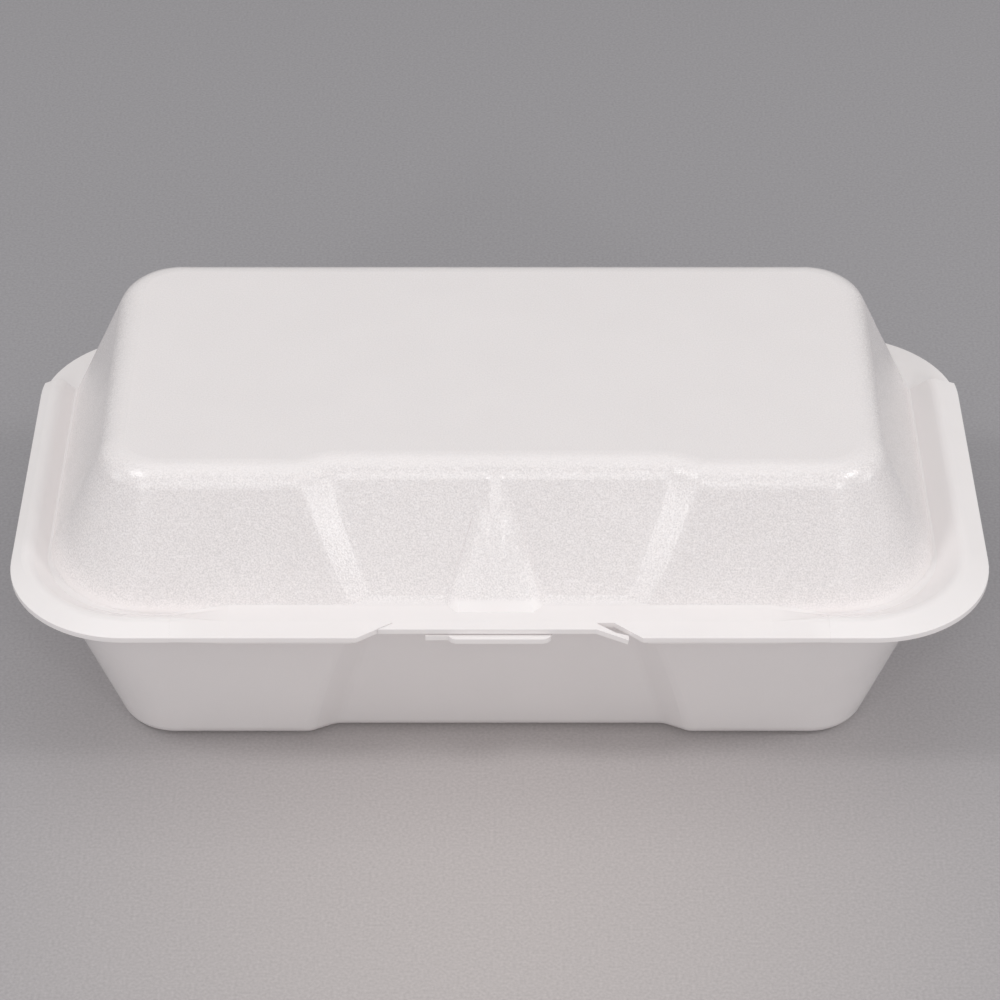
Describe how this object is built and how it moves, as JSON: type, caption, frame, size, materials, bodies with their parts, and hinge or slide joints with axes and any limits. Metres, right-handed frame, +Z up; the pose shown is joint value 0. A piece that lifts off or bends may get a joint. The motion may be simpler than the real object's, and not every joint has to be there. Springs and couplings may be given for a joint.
{
  "type": "foam clamshell container",
  "caption": "White foam takeaway container: a deep tray and a domed lid formed from one sheet and hinged along the rear crease, with a latch tab and shelf at the front rim.",
  "frame": {"origin": "on the table under the closed container: centre of its length, and the centre of the rim's width; the tray's flat bottom lies at z = 0", "axes": "+X along the length, to the right seen from the latch; +Y from the latch at the front to the hinge crease at the rear; +Z up"},
  "size_m": [0.249, 0.1349, 0.084],
  "materials": {
    "foam": "white expanded foam sheet, fine grain in the walls, smooth where pressed"
  },
  "bodies": {
    "tray": {"base_tray": "foam"},
    "cover": {"lid": "foam"}
  },
  "joints": [
    {"name": "lid_hinge", "type": "hinge", "parent": "tray", "child": "cover", "pos_m": [0, 0.0675, 0.049], "axis": [-1, 0, 0], "range_deg": [0, 180]}
  ]
}
